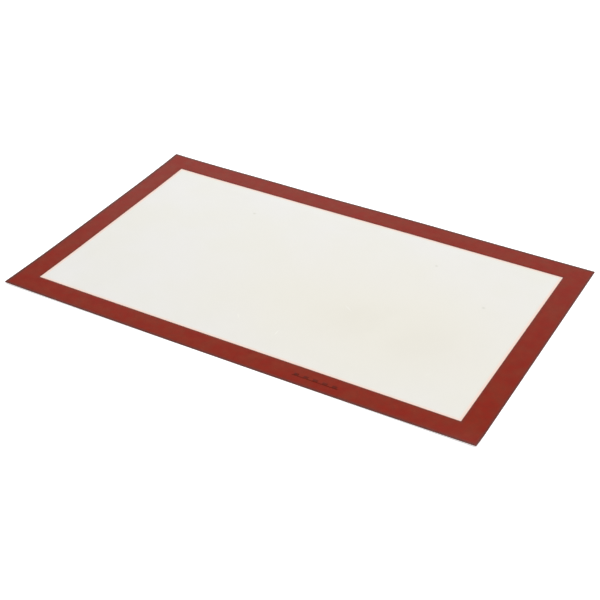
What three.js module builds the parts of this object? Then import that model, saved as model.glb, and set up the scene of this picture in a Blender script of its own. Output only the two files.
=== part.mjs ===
// Baking mat: woven glass cloth coated with silicone on both faces. Each face has a coloured border print, the
// front border carries a small printed scale, and a bead of silicone seals the cut edge all round.
// Millimetres, +Z up. The origin is the centre of the underside, +X runs along the long side, and the front edge
// is at -Y.
import * as THREE from "three";

// Outline of the finished mat, and the bead of sealing silicone around the cut sheet
const MAT_LENGTH = 520;
const MAT_WIDTH = 315;
const SEAL_WIDTH = 0.5;
const CUT_CORNER_RADIUS = 0.25;

// Layers, from the cloth outwards on both faces
const CLOTH_THICKNESS = 0.25;
const COAT_THICKNESS = 0.25;
const PRINT_THICKNESS = 0.125;

// Border print: its nominal width at the two ends and along the two long sides, and how far the print as a whole
// sits towards the front edge
const END_BORDER_WIDTH = 25.25;
const SIDE_BORDER_WIDTH = 26.25;
const BORDER_SHIFT = 0.75;
const WINDOW_CORNER_RADIUS = 0.5;

// Printed scale, halfway across the front border: a base line that carries a row of blocks
const SCALE_CENTRE_X = 95;
const SCALE_HEIGHT = 4;
const SCALE_LINE_WIDTH = 1;
const SCALE_BLOCKS = 5;
const SCALE_BLOCK_LENGTH = 5;
const SCALE_END = 1.5;
const INK_THICKNESS = 0.0625;

// Fineness of the round stretches
const CORNER_DIVISIONS = 3;
const BEAD_STEPS = 8;

// Colours and finishes
const SILICONE = { color: 0xedece5, roughness: 0.45 };
const GLASS_CLOTH = { color: 0xe3dfcf, roughness: 0.8 };
const BORDER_SILICONE = { color: 0x8e3f33, roughness: 0.5 };
const SEAL_SILICONE = { color: 0x7e3a31, roughness: 0.4 };
const INK = { color: 0x64261a, roughness: 0.6 };

// Levels of the faces between the layers
const LOWER_COAT_BASE = PRINT_THICKNESS;
const CLOTH_BASE = LOWER_COAT_BASE + COAT_THICKNESS;
const UPPER_COAT_BASE = CLOTH_BASE + CLOTH_THICKNESS;
const UPPER_PRINT_BASE = UPPER_COAT_BASE + COAT_THICKNESS;
const MAT_TOP = UPPER_PRINT_BASE + PRINT_THICKNESS;

const SHEET_LENGTH = MAT_LENGTH - 2 * SEAL_WIDTH;
const SHEET_WIDTH = MAT_WIDTH - 2 * SEAL_WIDTH;
const FRONT_BORDER_WIDTH = SIDE_BORDER_WIDTH - BORDER_SHIFT;

function roundedRectangle(length, width, radius, centreY = 0) {
  const outline = new THREE.Shape();
  const reachX = length / 2 - radius;
  const reachY = width / 2 - radius;
  const corners = [[1, 1], [-1, 1], [-1, -1], [1, -1]];
  corners.forEach(([sideX, sideY], index) => {
    const start = (index * Math.PI) / 2;
    outline.absarc(sideX * reachX, centreY + sideY * reachY, radius, start, start + Math.PI / 2);
  });
  return outline;
}

// The cut sheet, or the line that runs round it at some distance outside
function sheetOutline(outside = 0) {
  return roundedRectangle(
    SHEET_LENGTH + 2 * outside,
    SHEET_WIDTH + 2 * outside,
    CUT_CORNER_RADIUS + outside,
  );
}

function borderOutline() {
  const outline = sheetOutline();
  const windowLength = MAT_LENGTH - 2 * END_BORDER_WIDTH;
  const windowWidth = MAT_WIDTH - 2 * SIDE_BORDER_WIDTH;
  outline.holes.push(roundedRectangle(windowLength, windowWidth, WINDOW_CORNER_RADIUS, -BORDER_SHIFT));
  return outline;
}

// The scale about its own centre. The gap between two blocks is as long as a block.
function scaleOutline() {
  const outline = new THREE.Shape();
  const halfRow = ((2 * SCALE_BLOCKS - 1) * SCALE_BLOCK_LENGTH) / 2;
  const top = SCALE_HEIGHT / 2;
  const line = SCALE_LINE_WIDTH - top;
  outline.moveTo(-halfRow - SCALE_END, line);
  outline.lineTo(-halfRow - SCALE_END, -top);
  outline.lineTo(halfRow + SCALE_END, -top);
  outline.lineTo(halfRow + SCALE_END, line);
  for (let block = SCALE_BLOCKS - 1; block >= 0; block -= 1) {
    const left = 2 * block * SCALE_BLOCK_LENGTH - halfRow;
    const right = left + SCALE_BLOCK_LENGTH;
    outline.lineTo(right, line);
    outline.lineTo(right, top);
    outline.lineTo(left, top);
    outline.lineTo(left, line);
  }
  return outline;
}

// A flat layer between two levels. Layers that lie on each other take the very same level.
function layer(outline, bottom, top) {
  const geometry = new THREE.ExtrudeGeometry(outline, {
    depth: top - bottom,
    bevelEnabled: false,
    curveSegments: CORNER_DIVISIONS,
  });
  const position = geometry.getAttribute("position");
  for (let i = 0; i < position.count; i += 1) {
    position.setZ(i, position.getZ(i) > 0 ? top : bottom);
  }
  return geometry;
}

// The seal: a half-elliptic section carried round the sheet, flat against the cut edge
function edgeBead() {
  const vertices = [];
  const triangles = [];
  let ringLength = 0;
  for (let step = 0; step <= BEAD_STEPS; step += 1) {
    const angle = Math.PI * (step / BEAD_STEPS - 0.5);
    const level = (MAT_TOP / 2) * (1 + Math.sin(angle));
    const ring = sheetOutline(SEAL_WIDTH * Math.cos(angle)).getPoints(CORNER_DIVISIONS);
    ringLength = ring.length;
    ring.forEach((point) => vertices.push(point.x, point.y, level));
  }
  const ringCount = BEAD_STEPS + 1;
  for (let ring = 0; ring < ringCount; ring += 1) {
    const here = ring * ringLength;
    const next = ((ring + 1) % ringCount) * ringLength;
    for (let i = 0; i < ringLength; i += 1) {
      const j = (i + 1) % ringLength;
      triangles.push(here + i, here + j, next + j);
      triangles.push(here + i, next + j, next + i);
    }
  }
  const geometry = new THREE.BufferGeometry();
  geometry.setAttribute("position", new THREE.Float32BufferAttribute(vertices, 3));
  geometry.setIndex(triangles);
  geometry.computeVertexNormals();
  return geometry;
}

function piece(name, geometry, finish) {
  const mesh = new THREE.Mesh(geometry, new THREE.MeshStandardMaterial({ ...finish, metalness: 0 }));
  mesh.name = name;
  return mesh;
}

const mat = new THREE.Group();
mat.add(
  piece("lower_border_print", layer(borderOutline(), 0, LOWER_COAT_BASE), BORDER_SILICONE),
  piece("lower_silicone_coat", layer(sheetOutline(), LOWER_COAT_BASE, CLOTH_BASE), SILICONE),
  piece("glass_cloth_core", layer(sheetOutline(), CLOTH_BASE, UPPER_COAT_BASE), GLASS_CLOTH),
  piece("upper_silicone_coat", layer(sheetOutline(), UPPER_COAT_BASE, UPPER_PRINT_BASE), SILICONE),
  piece("upper_border_print", layer(borderOutline(), UPPER_PRINT_BASE, MAT_TOP), BORDER_SILICONE),
  piece("edge_seal", edgeBead(), SEAL_SILICONE),
);

const scale = piece("printed_scale", layer(scaleOutline(), MAT_TOP, MAT_TOP + INK_THICKNESS), INK);
scale.position.set(SCALE_CENTRE_X, (FRONT_BORDER_WIDTH - MAT_WIDTH) / 2, 0);
mat.add(scale);

export default mat;
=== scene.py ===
# Looks of a baking mat: silicone-coated glass cloth with a red-brown border, lying on a pale floor.
# Metres, +Z up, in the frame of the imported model: the origin is the centre of the underside, +X runs along
# the long side and the front edge is at -Y.
import math

import bmesh
import bpy
import numpy as np
from mathutils import Color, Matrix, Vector


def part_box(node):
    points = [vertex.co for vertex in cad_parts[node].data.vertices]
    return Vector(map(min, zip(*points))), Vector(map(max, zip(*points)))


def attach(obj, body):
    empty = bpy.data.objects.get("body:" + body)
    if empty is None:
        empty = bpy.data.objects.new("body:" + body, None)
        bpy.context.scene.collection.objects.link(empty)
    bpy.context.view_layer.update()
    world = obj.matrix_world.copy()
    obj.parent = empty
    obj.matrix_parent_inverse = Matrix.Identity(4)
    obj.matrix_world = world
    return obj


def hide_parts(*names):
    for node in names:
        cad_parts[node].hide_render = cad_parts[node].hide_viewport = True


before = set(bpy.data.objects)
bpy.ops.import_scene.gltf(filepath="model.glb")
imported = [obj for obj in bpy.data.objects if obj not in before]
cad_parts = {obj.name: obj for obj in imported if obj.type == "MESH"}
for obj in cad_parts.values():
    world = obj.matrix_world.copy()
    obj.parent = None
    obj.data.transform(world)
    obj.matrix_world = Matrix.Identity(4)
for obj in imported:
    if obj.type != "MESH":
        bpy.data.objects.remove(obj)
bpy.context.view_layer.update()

MM = 0.001

# Where the lying mat stands off the floor: both front corners curl up, the left one over a longer stretch.
# The back left corner is raised. The back edge is slightly wavy, as far as the last trough before its right
# end.
FRONT_CURL = 1.67 * MM
LEFT_CURL_REACH = 100 * MM
RIGHT_CURL_REACH = 25 * MM
CORNER_LIFT = 1.54 * MM
CORNER_LIFT_REACH = 100 * MM
BACK_WAVE = 0.25 * MM
BACK_WAVE_LENGTH = 220 * MM
BACK_WAVE_CREST = 57 * MM
BACK_WAVE_REACH = 80 * MM

# Small roundings, and the profile that makes a bevel a round arc
CUT_CORNER_RADIUS = 0.25 * MM
WINDOW_CORNER_RADIUS = 0.5 * MM
PRINT_EDGE_RADIUS = 0.06 * MM
INK_EDGE_RADIUS = 0.02 * MM
ROUND_PROFILE = 0.5

# Fineness of the meshes
LONG_SIDE_STEPS = 104
SHORT_SIDE_STEPS = 64
CORNER_STEPS = 4
BORDER_STEPS = 10
PRINT_EDGE_STEPS = 3
INK_EDGE_STEPS = 2
BEAD_STEPS = 14
SMOOTH_ANGLE = math.radians(40)
FLAT_ANGLE = math.radians(1)
WELD_DISTANCE = 0.002 * MM

# Weave of the glass cloth: the distance between yarns, how much a yarn sinks on its way to the next
# crossing, and how gently it goes over and under the others
YARN_PITCH = 1.25 * MM
YARN_SINK = 0.4
YARN_SOFTNESS = 0.3

# Colours as they look on screen, from 0 to white
SCREEN_WHITE = 255
FIELD_PALE = (244, 243, 241)
FIELD_DEEP = (243, 242, 236)
FIELD_WARM = (244, 241, 231)
FIELD_STAIN = (235, 231, 219)
FIELD_SPECK = (228, 227, 219)
FIELD_SCRATCH = (252, 251, 244)
FIELD_FEATHER = (250, 222, 208)
BORDER_RED = (145, 34, 16)
BORDER_BROWN = (141, 47, 26)
BORDER_DARK = (86, 29, 22)
BORDER_RIM = (101, 55, 47)
# The seal's two colours are its own red-brown, darkened with painted shade for the cut edge in shadow
SEAL_SHADED_DARK = (100, 47, 40)
SEAL_SHADED_LIGHT = (118, 56, 48)
CLOTH_PALE = (232, 229, 214)
CLOTH_DEEP = (199, 193, 170)
INK_DARK = (90, 26, 13)
INK_THIN = (112, 33, 19)

# Gloss: the strength of each surface's mirror-like part, its roughness from the smoothest to the roughest
# patch, and the size of those patches
SILICONE_IOR = 1.41
FIELD_GLOSS = 0.15
FIELD_ROUGHNESS = (0.46, 0.54)
FIELD_GLOSS_PATCH = 22 * MM
BORDER_GLOSS = 0.1
BORDER_ROUGHNESS = (0.33, 0.43)
BORDER_GLOSS_PATCH = 6 * MM
SEAL_GLOSS = 0.15
SEAL_ROUGHNESS = (0.36, 0.46)
SEAL_GLOSS_PATCH = 3 * MM
CLOTH_GLOSS = 0.4
CLOTH_ROUGHNESS = (0.7, 0.85)
CLOTH_GLOSS_PATCH = 2 * MM
INK_GLOSS = 0.06
INK_ROUGHNESS = (0.5, 0.62)
INK_GLOSS_PATCH = 0.8 * MM

# Patterns: the size of their patches, the greatest share that a colour has in them, and the depth of their
# relief
NOISE_RANGE = (0.3, 0.7)
NOISE_DETAIL = 3
FIELD_PATCH = 90 * MM
FIELD_WEAVE_SHARE = 0.16
FIELD_WEAVE_DEPTH = 0.035 * MM
FIELD_GRAIN = 0.5 * MM
FIELD_GRAIN_DEPTH = 0.006 * MM
BORDER_PATCH = 16 * MM
BORDER_CLOUD = 4 * MM
BORDER_CLOUD_SHARE = 0.16
BORDER_GRAIN = 1.1 * MM
BORDER_GRAIN_SHARE = 0.14
BORDER_GRAIN_DEPTH = 0.008 * MM
BORDER_WEAVE_DEPTH = 0.025 * MM
SEAL_PATCH = 9 * MM
SEAL_GRAIN = 1.5 * MM
SEAL_GRAIN_DEPTH = 0.03 * MM
CLOTH_WEAVE_DEPTH = 0.12 * MM
INK_PATCH = 1.6 * MM
INK_GRAIN = 0.4 * MM
INK_GRAIN_DEPTH = 0.006 * MM

# Tints along the border's edges: the field takes on the border's colour beside it, and the border is greyer
# along both rims. A shift of the outer rim makes it wider on two sides.
FEATHER_START = 1 * MM
FEATHER_END = 4 * MM
FEATHER_SHARE = 0.9
RIM_WIDTH = 3.8 * MM
RIM_SHIFT = Vector((0.8 * MM, -0.4 * MM, 0))
OUTER_RIM_SHARE = 1.0
INNER_RIM_SHARE = 0.5

# Marks on the field: one wide area that is warmer in tone, and marks of use: stains as (x, y, reach),
# specks as (x, y) and scratches as (x, y, length, heading in degrees)
WARM_MIDDLE = (100 * MM, -35 * MM)
WARM_REACH = (300 * MM, 187 * MM)
WARM_SHARE = 0.9
STAINS = [(158 * MM, -42 * MM, 85 * MM), (76 * MM, -40 * MM, 65 * MM)]
STAIN_SHARE = 0.26
STAIN_PATCH = 45 * MM
STAIN_UNEVENNESS = 24 * MM
SPECKS = [(-108 * MM, 85.8 * MM), (112.3 * MM, 87 * MM), (184.6 * MM, 40 * MM)]
SPECK_RADIUS = 2.7 * MM
SCRATCHES = [
    (67.5 * MM, -26 * MM, 15 * MM, -32),
    (-21.3 * MM, -90.2 * MM, 10 * MM, -50),
    (25.9 * MM, -96.3 * MM, 11 * MM, 89),
    (181 * MM, -84.2 * MM, 8 * MM, 63),
]
SCRATCH_WIDTH = 1.3 * MM
SCRATCH_CORE = 0.3

# Floor of white paper. What the camera sees of it glows a little near the mat, and fully where the light
# fades.
FLOOR_REACH = 12
FLOOR_GAP = 0.05 * MM
FLOOR_COLOUR = (0.88, 0.88, 0.88, 1)
FLOOR_GLOW = (0.55, 1.0)
FLOOR_GLOW_REACH = (0.9, 3.0)

# Light: a large softbox overhead, a low panel behind the mat, and a white studio that is brightest near the
# horizon. A brightness of 1 is white.
STUDIO_COLOUR = (1, 1, 1, 1)
SOFTBOX_SIZE = (3.0, 3.0)
SOFTBOX_PLACE = Vector((0.5, -0.35, 2.2))
SOFTBOX_LIGHT = 1.73
BACK_PANEL_SIZE = (1.15, 0.55)
BACK_PANEL_PLACE = Vector((-0.33, 0.8, 0.29))
BACK_PANEL_LIGHT = 1.38
HORIZON_LIGHT = 1.0
HORIZON_TOP = math.radians(8)
SKY_LIGHT = 0.25
SKY_BOTTOM = math.radians(25)

# Camera, at the photograph's viewing angle
LENS_MM = 77.57
SENSOR_MM = 36
EYE = Vector((0.54012, -0.96753, 0.73735))
TARGET = Vector((0.01804, -0.03587, 0))

# Colour sockets of Blender's Mix node: the share, the two colours and the result
MIX_INPUTS = (0, 6, 7)
MIX_RESULT = 2


def find_window():
    """Lowest and highest corner of the border's inner edge, from the vertices well inside its outline."""
    well_inside = 5 * MM
    low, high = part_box("upper_border_print")
    points = np.array([vertex.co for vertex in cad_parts["upper_border_print"].data.vertices])
    depth = np.minimum(points - np.array(low), np.array(high) - points)[:, :2].min(axis=1)
    inner = points[depth > well_inside]
    return Vector(inner.min(axis=0)), Vector(inner.max(axis=0))


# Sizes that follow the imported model
mat_low, mat_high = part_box("edge_seal")
sheet_low, sheet_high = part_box("glass_cloth_core")
window_low, window_high = find_window()


# Meshes


def lift(x, y):
    """How far the mat stands off the floor at x and y, which are arrays."""
    reach = np.interp(x, (mat_low.x, mat_high.x), (LEFT_CURL_REACH, RIGHT_CURL_REACH))
    from_front = np.clip(1 - (y - mat_low.y) / reach, 0, 1)
    front = FRONT_CURL * (x / mat_high.x) ** 2 * from_front**2
    from_corner = np.clip(1 - np.hypot(x - mat_low.x, y - mat_high.y) / CORNER_LIFT_REACH, 0, 1)
    corner = CORNER_LIFT * from_corner**2
    from_back = np.clip(1 - (mat_high.y - y) / BACK_WAVE_REACH, 0, 1)
    past_crest = np.minimum(x - BACK_WAVE_CREST, BACK_WAVE_LENGTH / 2)
    crests = 1 + np.cos(2 * np.pi * past_crest / BACK_WAVE_LENGTH)
    return front + corner + BACK_WAVE * crests * from_back**2


def laid(points):
    """Points of the flat mat, carried to where the lying mat has them."""
    points = np.array(points, float)
    points[:, 2] += lift(points[:, 0], points[:, 1])
    return points


def make_object(name, points, faces):
    """A closed mesh object that lies as the mat does, smooth except at its real edges."""
    mesh = bpy.data.meshes.new(name)
    mesh.from_pydata(laid(points).tolist(), [], faces)
    shell = bmesh.new()
    shell.from_mesh(mesh)
    bmesh.ops.recalc_face_normals(shell, faces=shell.faces)
    shell.to_mesh(mesh)
    shell.free()
    mesh.shade_smooth()
    mesh.set_sharp_from_angle(angle=SMOOTH_ANGLE)
    made = bpy.data.objects.new(name, mesh)
    bpy.context.scene.collection.objects.link(made)
    return made


def rounded_ring(low, high, radius, outside=0.0):
    """Points round a rectangle with rounded corners, or round the line at some distance outside it."""
    radius = radius + outside
    centres = [
        (high.x + outside - radius, high.y + outside - radius),
        (low.x - outside + radius, high.y + outside - radius),
        (low.x - outside + radius, low.y - outside + radius),
        (high.x + outside - radius, low.y - outside + radius),
    ]
    corners = []
    for index, (x, y) in enumerate(centres):
        angles = (index + np.linspace(0, 1, CORNER_STEPS + 1)) * np.pi / 2
        corners.append(np.stack([x + radius * np.cos(angles), y + radius * np.sin(angles)], axis=1))
    stretches = []
    for index, corner in enumerate(corners):
        steps = LONG_SIDE_STEPS if index % 2 == 0 else SHORT_SIDE_STEPS
        following = corners[(index + 1) % len(corners)][0]
        along = np.linspace(0, 1, steps + 1)[1:-1, None]
        stretches += [corner, corner[-1] + along * (following - corner[-1])]
    return np.concatenate(stretches)


def at_level(plane_points, level):
    """Points of x and y, all put at one level."""
    return np.column_stack([plane_points, np.full(len(plane_points), level)])


def loft(rings):
    """Points and faces of a closed tube: each ring is joined to the next, and the last to the first."""
    count = len(rings[0])
    faces = []
    for ring in range(len(rings)):
        here = ring * count
        there = (ring + 1) % len(rings) * count
        for i in range(count):
            j = (i + 1) % count
            faces.append((here + i, here + j, there + j, there + i))
    return np.concatenate(rings), faces


def make_sheet(name, node):
    """One flat layer of the mat, as a fine grid on both faces with a wall round it. Each corner of the grid
    is drawn in to the middle of its rounding."""
    low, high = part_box(node)
    across = np.linspace(low.x, high.x, LONG_SIDE_STEPS + 1)
    along = np.linspace(low.y, high.y, SHORT_SIDE_STEPS + 1)
    grid = np.stack(np.meshgrid(across, along), axis=-1)
    drawn_in = CUT_CORNER_RADIUS * (1 - math.sqrt(0.5))
    for row, column in [(0, 0), (0, -1), (-1, 0), (-1, -1)]:
        grid[row, column] -= np.sign(grid[row, column]) * drawn_in
    face = grid.reshape(-1, 2)
    points = np.concatenate([at_level(face, low.z), at_level(face, high.z)])
    width = LONG_SIDE_STEPS + 1
    number = np.arange(len(face)).reshape(SHORT_SIDE_STEPS + 1, width)
    faces = []
    for row in range(SHORT_SIDE_STEPS):
        for column in range(LONG_SIDE_STEPS):
            start = row * width + column
            quad = (start, start + 1, start + width + 1, start + width)
            faces.append(quad)
            faces.append(tuple(corner + len(face) for corner in quad))
    rim = np.concatenate([number[0, :-1], number[:-1, -1], number[-1, :0:-1], number[:0:-1, 0]]).tolist()
    for i, j in zip(rim, rim[1:] + rim[:1]):
        faces.append((i, j, j + len(face), i + len(face)))
    return make_object(name, points, faces)


def make_border(name, node, outward):
    """A printed frame from the cut edge to the window. Its inner edge is rounded on the face that shows,
    which is the upper one where outward is 1 and the lower one where it is -1."""
    low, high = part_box(node)
    base, face = (low.z, high.z) if outward > 0 else (high.z, low.z)
    outer = rounded_ring(sheet_low, sheet_high, CUT_CORNER_RADIUS)
    inner = rounded_ring(window_low, window_high, WINDOW_CORNER_RADIUS)
    edge_start = rounded_ring(window_low, window_high, WINDOW_CORNER_RADIUS, PRINT_EDGE_RADIUS)
    shares = np.linspace(0, 1, BORDER_STEPS + 1)
    rings = [at_level(outer + share * (edge_start - outer), face) for share in shares]
    for angle in np.linspace(0, np.pi / 2, PRINT_EDGE_STEPS + 1)[1:]:
        outside = PRINT_EDGE_RADIUS * (1 - math.sin(angle))
        ring = rounded_ring(window_low, window_high, WINDOW_CORNER_RADIUS, outside)
        rings.append(at_level(ring, face - outward * PRINT_EDGE_RADIUS * (1 - math.cos(angle))))
    rings += [at_level(inner + share * (outer - inner), base) for share in shares]
    return make_object(name, *loft(rings))


def make_bead():
    """The seal round the cut edge: a half-elliptic bead with its flat side against the sheet."""
    half_height = (mat_high.z - mat_low.z) / 2
    reach = mat_high.x - sheet_high.x
    rings = []
    for angle in np.linspace(-np.pi / 2, np.pi / 2, BEAD_STEPS + 1):
        ring = rounded_ring(sheet_low, sheet_high, CUT_CORNER_RADIUS, reach * math.cos(angle))
        rings.append(at_level(ring, mat_low.z + half_height * (1 + math.sin(angle))))
    return make_object("edge_bead", *loft(rings))


def make_scale():
    """The printed scale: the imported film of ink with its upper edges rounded. Its points and faces are
    sorted, because the bevel gives them in another order from run to run."""
    film = bmesh.new()
    film.from_mesh(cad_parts["printed_scale"].data)
    bmesh.ops.remove_doubles(film, verts=film.verts, dist=WELD_DISTANCE)
    bmesh.ops.dissolve_limit(film, angle_limit=FLAT_ANGLE, verts=film.verts, edges=film.edges)
    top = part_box("printed_scale")[1].z
    rim = [edge for edge in film.edges if all(top - vertex.co.z < INK_EDGE_RADIUS for vertex in edge.verts)]
    bmesh.ops.bevel(
        film,
        geom=rim,
        offset=INK_EDGE_RADIUS,
        segments=INK_EDGE_STEPS,
        affect="EDGES",
        profile=ROUND_PROFILE,
    )
    bmesh.ops.triangulate(film, faces=film.faces)
    points = sorted(tuple(vertex.co) for vertex in film.verts)
    numbers = {point: number for number, point in enumerate(points)}
    faces = []
    for face in film.faces:
        corners = [numbers[tuple(vertex.co)] for vertex in face.verts]
        first = corners.index(min(corners))
        faces.append(corners[first:] + corners[:first])
    film.free()
    return make_object("scale_bar", points, sorted(faces))


# Material nodes


def linear(screen_colour):
    """A colour on screen, as Blender's linear values."""
    shares = Color([value / SCREEN_WHITE for value in screen_colour])
    return (*shares.from_srgb_to_scene_linear(), 1)


def add_node(tree, kind, inputs=(), **settings):
    """A new node: inputs are (socket, value or link) pairs."""
    made = tree.nodes.new(kind)
    for name, value in settings.items():
        setattr(made, name, value)
    for socket, value in inputs:
        if isinstance(value, bpy.types.NodeSocket):
            tree.links.new(value, made.inputs[socket])
        else:
            made.inputs[socket].default_value = value
    return made


def calculate(tree, operation, *values):
    """The result of a Math node."""
    return add_node(tree, "ShaderNodeMath", enumerate(values), operation=operation).outputs[0]


def between(tree, value, start, end, low=0.0, high=1.0):
    """A value carried smoothly from start..end to low..high, and kept within them."""
    inputs = [("Value", value), ("From Min", start), ("From Max", end), ("To Min", low), ("To Max", high)]
    return add_node(tree, "ShaderNodeMapRange", inputs, interpolation_type="SMOOTHSTEP").outputs["Result"]


def mix(tree, share, first, second):
    """The colour part of the way from the first to the second. Each is a link or a colour on screen."""
    ends = [end if isinstance(end, bpy.types.NodeSocket) else linear(end) for end in (first, second)]
    inputs = zip(MIX_INPUTS, (share, *ends))
    return add_node(tree, "ShaderNodeMix", inputs, data_type="RGBA").outputs[MIX_RESULT]


def patches(tree, position, size, low=0.0, high=1.0):
    """A value that wanders from low to high, in patches of about that size."""
    inputs = [("Vector", position), ("Scale", 1 / size), ("Detail", NOISE_DETAIL)]
    noise = add_node(tree, "ShaderNodeTexNoise", inputs).outputs["Fac"]
    return between(tree, noise, *NOISE_RANGE, low, high)


def plan(tree, position):
    """The x and y of a position."""
    parts = add_node(tree, "ShaderNodeSeparateXYZ", [("Vector", position)])
    return parts.outputs["X"], parts.outputs["Y"]


def weave(tree, position):
    """Height of a plain weave from 0 to 1: round yarns that pass over and under each other in turn."""
    waves = []
    for value in plan(tree, position):
        angle = calculate(tree, "MULTIPLY", value, math.pi / YARN_PITCH)
        waves.append(calculate(tree, "SINE", angle))
    warp_on_top = between(tree, calculate(tree, "MULTIPLY", *waves), -YARN_SOFTNESS, YARN_SOFTNESS)
    round_x, round_y = [calculate(tree, "MULTIPLY", wave, wave) for wave in waves]
    along_x = calculate(tree, "MULTIPLY_ADD", round_x, YARN_SINK, 1 - YARN_SINK)
    along_y = calculate(tree, "MULTIPLY_ADD", round_y, YARN_SINK, 1 - YARN_SINK)
    warp = calculate(tree, "MULTIPLY", round_x, along_y)
    weft = calculate(tree, "MULTIPLY", round_y, along_x)
    return calculate(tree, "MULTIPLY_ADD", calculate(tree, "SUBTRACT", warp, weft), warp_on_top, weft)


def inside(tree, position, low, high):
    """How far a point lies inside a rectangle on the mat, given by its lowest and highest corner."""
    gaps = []
    for axis, value in enumerate(plan(tree, position)):
        middle = (low[axis] + high[axis]) / 2
        off_middle = calculate(tree, "ABSOLUTE", calculate(tree, "SUBTRACT", value, middle))
        gaps.append(calculate(tree, "SUBTRACT", high[axis] - middle, off_middle))
    return calculate(tree, "MINIMUM", *gaps)


def distance_from(tree, position, x, y):
    """Distance from a point at the level of the mat's upper face."""
    inputs = [(0, position), (1, (x, y, mat_high.z))]
    return add_node(tree, "ShaderNodeVectorMath", inputs, operation="DISTANCE").outputs["Value"]


def share_of_reach(tree, position, middle, reach, heading=0):
    """Distance from the middle of an ellipse on the mat, which is 1 on its outline."""
    inputs = [
        ("Vector", position),
        ("Location", (*middle, mat_high.z)),
        ("Rotation", (0, 0, math.radians(heading))),
        ("Scale", (*reach, max(reach))),
    ]
    placed = add_node(tree, "ShaderNodeMapping", inputs, vector_type="TEXTURE").outputs["Vector"]
    return add_node(tree, "ShaderNodeVectorMath", [(0, placed)], operation="LENGTH").outputs["Value"]


# Finishes


def start_material(name):
    """A new material, its node tree and the position on the mat that its pattern follows."""
    material = bpy.data.materials.new(name)
    material.use_nodes = True
    tree = material.node_tree
    return material, tree, tree.nodes.new("ShaderNodeTexCoord").outputs["Object"]


def set_shader(tree, base, roughness, gloss, relief):
    """Puts a finish on a material's shader. Relief is layers of (height, depth), from the lowest up."""
    shader = tree.nodes["Principled BSDF"]
    tree.links.new(base, shader.inputs["Base Color"])
    tree.links.new(roughness, shader.inputs["Roughness"])
    shader.inputs["Specular IOR Level"].default_value = gloss
    shader.inputs["IOR"].default_value = SILICONE_IOR
    bump = None
    for height, depth in relief:
        inputs = [("Height", height), ("Distance", depth), ("Strength", 1.0)]
        if bump:
            inputs.append(("Normal", bump.outputs["Normal"]))
        bump = add_node(tree, "ShaderNodeBump", inputs)
    tree.links.new(bump.outputs["Normal"], shader.inputs["Normal"])


def field_material(name, used):
    """Off-white silicone, through which the cloth shows faintly. The used face has a warm area and marks of
    use.
    """
    material, tree, position = start_material(name)
    base = mix(tree, patches(tree, position, FIELD_PATCH), FIELD_PALE, FIELD_DEEP)
    if used:
        base = add_marks(tree, position, base)
    cloth = weave(tree, position)
    hollow = between(tree, cloth, 0.0, 1.0, FIELD_WEAVE_SHARE, 0.0)
    base = mix(tree, hollow, base, CLOTH_DEEP)
    from_border = inside(tree, position, window_low, window_high)
    feather = between(tree, from_border, FEATHER_START, FEATHER_END, FEATHER_SHARE, 0.0)
    base = mix(tree, feather, base, FIELD_FEATHER)
    roughness = patches(tree, position, FIELD_GLOSS_PATCH, *FIELD_ROUGHNESS)
    grain = patches(tree, position, FIELD_GRAIN)
    set_shader(tree, base, roughness, FIELD_GLOSS, [(cloth, FIELD_WEAVE_DEPTH), (grain, FIELD_GRAIN_DEPTH)])
    return material


def add_marks(tree, position, base):
    """A warm area, stains with uneven outlines, grey specks and pale scratches on a colour."""
    away = share_of_reach(tree, position, WARM_MIDDLE, WARM_REACH)
    base = mix(tree, between(tree, away, 0.0, 1.0, WARM_SHARE, 0.0), base, FIELD_WARM)
    unevenness = patches(tree, position, STAIN_PATCH, 0.0, STAIN_UNEVENNESS)
    for x, y, reach in STAINS:
        away = calculate(tree, "ADD", distance_from(tree, position, x, y), unevenness)
        share = between(tree, away, STAIN_UNEVENNESS / 2, reach, STAIN_SHARE, 0.0)
        base = mix(tree, share, base, FIELD_STAIN)
    for x, y in SPECKS:
        share = between(tree, distance_from(tree, position, x, y), 0.0, SPECK_RADIUS, 1.0, 0.0)
        base = mix(tree, share, base, FIELD_SPECK)
    for x, y, length, heading in SCRATCHES:
        away = share_of_reach(tree, position, (x, y), (length / 2, SCRATCH_WIDTH / 2), heading)
        base = mix(tree, between(tree, away, SCRATCH_CORE, 1.0, 1.0, 0.0), base, FIELD_SCRATCH)
    return base


def border_material():
    """Red-brown silicone print, cloudy and greyer along both rims, with the relief of the cloth under it.
    The grey of the outer rim is wider at the back and the left."""
    material, tree, position = start_material("border_silicone")
    base = mix(tree, patches(tree, position, BORDER_PATCH), BORDER_RED, BORDER_BROWN)
    base = mix(tree, patches(tree, position, BORDER_CLOUD, 0.0, BORDER_CLOUD_SHARE), base, BORDER_DARK)
    grain = patches(tree, position, BORDER_GRAIN)
    base = mix(tree, calculate(tree, "MULTIPLY", grain, BORDER_GRAIN_SHARE), base, BORDER_DARK)
    from_cut = inside(tree, position, sheet_low + RIM_SHIFT, sheet_high + RIM_SHIFT)
    outer = between(tree, from_cut, 0.0, RIM_WIDTH, OUTER_RIM_SHARE, 0.0)
    into_window = inside(tree, position, window_low, window_high)
    inner = between(tree, into_window, -RIM_WIDTH, 0.0, 0.0, INNER_RIM_SHARE)
    base = mix(tree, calculate(tree, "MAXIMUM", outer, inner), base, BORDER_RIM)
    roughness = patches(tree, position, BORDER_GLOSS_PATCH, *BORDER_ROUGHNESS)
    relief = [(weave(tree, position), BORDER_WEAVE_DEPTH), (grain, BORDER_GRAIN_DEPTH)]
    set_shader(tree, base, roughness, BORDER_GLOSS, relief)
    return material


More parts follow.
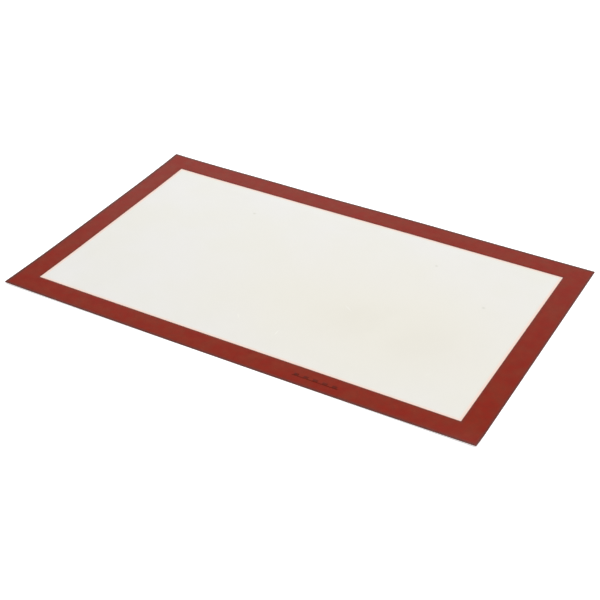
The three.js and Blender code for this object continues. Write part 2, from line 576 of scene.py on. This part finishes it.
def seal_material():
    """Sealing silicone, darkened with painted shade for the cut edge in shadow, a little uneven along the
    edge.
    """
    material, tree, position = start_material("seal_silicone")
    base = mix(tree, patches(tree, position, SEAL_PATCH), SEAL_SHADED_DARK, SEAL_SHADED_LIGHT)
    roughness = patches(tree, position, SEAL_GLOSS_PATCH, *SEAL_ROUGHNESS)
    set_shader(tree, base, roughness, SEAL_GLOSS, [(patches(tree, position, SEAL_GRAIN), SEAL_GRAIN_DEPTH)])
    return material


def cloth_material():
    """Bare glass cloth: pale yarns with darker gaps between them."""
    material, tree, position = start_material("glass_cloth")
    cloth = weave(tree, position)
    roughness = patches(tree, position, CLOTH_GLOSS_PATCH, *CLOTH_ROUGHNESS)
    base = mix(tree, cloth, CLOTH_DEEP, CLOTH_PALE)
    set_shader(tree, base, roughness, CLOTH_GLOSS, [(cloth, CLOTH_WEAVE_DEPTH)])
    return material


def ink_material():
    """Matt dark ink that lies thinner in places."""
    material, tree, position = start_material("ink")
    base = mix(tree, patches(tree, position, INK_PATCH), INK_DARK, INK_THIN)
    roughness = patches(tree, position, INK_GLOSS_PATCH, *INK_ROUGHNESS)
    set_shader(tree, base, roughness, INK_GLOSS, [(patches(tree, position, INK_GRAIN), INK_GRAIN_DEPTH)])
    return material


# The mat


def add_piece(piece, node, material):
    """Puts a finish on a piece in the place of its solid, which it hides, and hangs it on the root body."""
    piece.data.materials.append(material)
    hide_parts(node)
    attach(piece, "root")


def build_mat():
    """All the pieces with their finishes, and the three layers that are cut from sheets."""
    lower_border = make_border("lower_border", "lower_border_print", -1)
    upper_border = make_border("upper_border", "upper_border_print", 1)
    lower_coat = make_sheet("lower_coat", "lower_silicone_coat")
    cloth = make_sheet("glass_cloth", "glass_cloth_core")
    upper_coat = make_sheet("upper_coat", "upper_silicone_coat")
    bead = make_bead()
    scale = make_scale()
    border = border_material()
    add_piece(lower_border, "lower_border_print", border)
    add_piece(upper_border, "upper_border_print", border)
    add_piece(lower_coat, "lower_silicone_coat", field_material("field_silicone_under", used=False))
    add_piece(cloth, "glass_cloth_core", cloth_material())
    add_piece(upper_coat, "upper_silicone_coat", field_material("field_silicone", used=True))
    add_piece(bead, "edge_seal", seal_material())
    add_piece(scale, "printed_scale", ink_material())


# Floor, light and camera


def floor_material():
    """White paper that the camera sees as white, and that still takes the mat's shadow."""
    material, tree, position = start_material("floor_paper")
    tree.nodes.remove(tree.nodes["Principled BSDF"])
    path = tree.nodes.new("ShaderNodeLightPath").outputs
    seen = calculate(tree, "MAXIMUM", path["Is Camera Ray"], path["Is Glossy Ray"])
    seen = calculate(tree, "MAXIMUM", seen, path["Is Transmission Ray"])
    brightness = between(tree, distance_from(tree, position, 0, 0), *FLOOR_GLOW_REACH, *FLOOR_GLOW)
    strength = calculate(tree, "MULTIPLY", seen, brightness)
    glow = add_node(tree, "ShaderNodeEmission", [("Strength", strength)])
    paper = add_node(tree, "ShaderNodeBsdfDiffuse", [("Color", FLOOR_COLOUR)])
    both = add_node(tree, "ShaderNodeAddShader", [(0, paper.outputs[0]), (1, glow.outputs[0])])
    tree.links.new(both.outputs[0], tree.nodes["Material Output"].inputs["Surface"])
    return material


def build_floor():
    """The floor, just under the mat."""
    corners = [(-1, -1), (1, -1), (1, 1), (-1, 1)]
    points = [(x * FLOOR_REACH, y * FLOOR_REACH, -FLOOR_GAP) for x, y in corners]
    mesh = bpy.data.meshes.new("floor")
    mesh.from_pydata(points, [], [(0, 1, 2, 3)])
    mesh.materials.append(floor_material())
    floor = bpy.data.objects.new("floor", mesh)
    bpy.context.scene.collection.objects.link(floor)


def add_panel(name, place, aim, size, brightness):
    """A soft rectangular light. Brightness is that of its face, where 1 is white."""
    lamp = bpy.data.lights.new(name, "AREA")
    lamp.shape = "RECTANGLE"
    lamp.size, lamp.size_y = size
    lamp.energy = brightness * math.pi * size[0] * size[1]
    panel = bpy.data.objects.new(name, lamp)
    panel.location = place
    panel.rotation_euler = (aim - place).to_track_quat("-Z", "Y").to_euler()
    panel.visible_camera = False
    bpy.context.scene.collection.objects.link(panel)


def build_light():
    """Both panels, and the studio around the mat."""
    below_softbox = Vector((SOFTBOX_PLACE.x, SOFTBOX_PLACE.y, 0))
    add_panel("softbox", SOFTBOX_PLACE, below_softbox, SOFTBOX_SIZE, SOFTBOX_LIGHT)
    level_with_panel = Vector((0, 0, BACK_PANEL_PLACE.z))
    add_panel("back_panel", BACK_PANEL_PLACE, level_with_panel, BACK_PANEL_SIZE, BACK_PANEL_LIGHT)
    world = bpy.data.worlds.new("studio")
    world.use_nodes = True
    tree = world.node_tree
    direction = tree.nodes.new("ShaderNodeTexCoord").outputs["Generated"]
    height = add_node(tree, "ShaderNodeSeparateXYZ", [("Vector", direction)]).outputs["Z"]
    strength = between(tree, height, math.sin(HORIZON_TOP), math.sin(SKY_BOTTOM), HORIZON_LIGHT, SKY_LIGHT)
    background = tree.nodes["Background"]
    background.inputs["Color"].default_value = STUDIO_COLOUR
    tree.links.new(strength, background.inputs["Strength"])
    bpy.context.scene.world = world


def build_camera():
    """The camera that sees the mat as in the photograph."""
    data = bpy.data.cameras.new("camera")
    data.lens = LENS_MM
    data.sensor_width = SENSOR_MM
    camera = bpy.data.objects.new("camera", data)
    camera.location = EYE
    camera.rotation_euler = (TARGET - EYE).to_track_quat("-Z", "Y").to_euler()
    bpy.context.scene.collection.objects.link(camera)
    bpy.context.scene.camera = camera


build_camera()
build_mat()
build_floor()
build_light()
bpy.context.scene.view_settings.view_transform = "Standard"
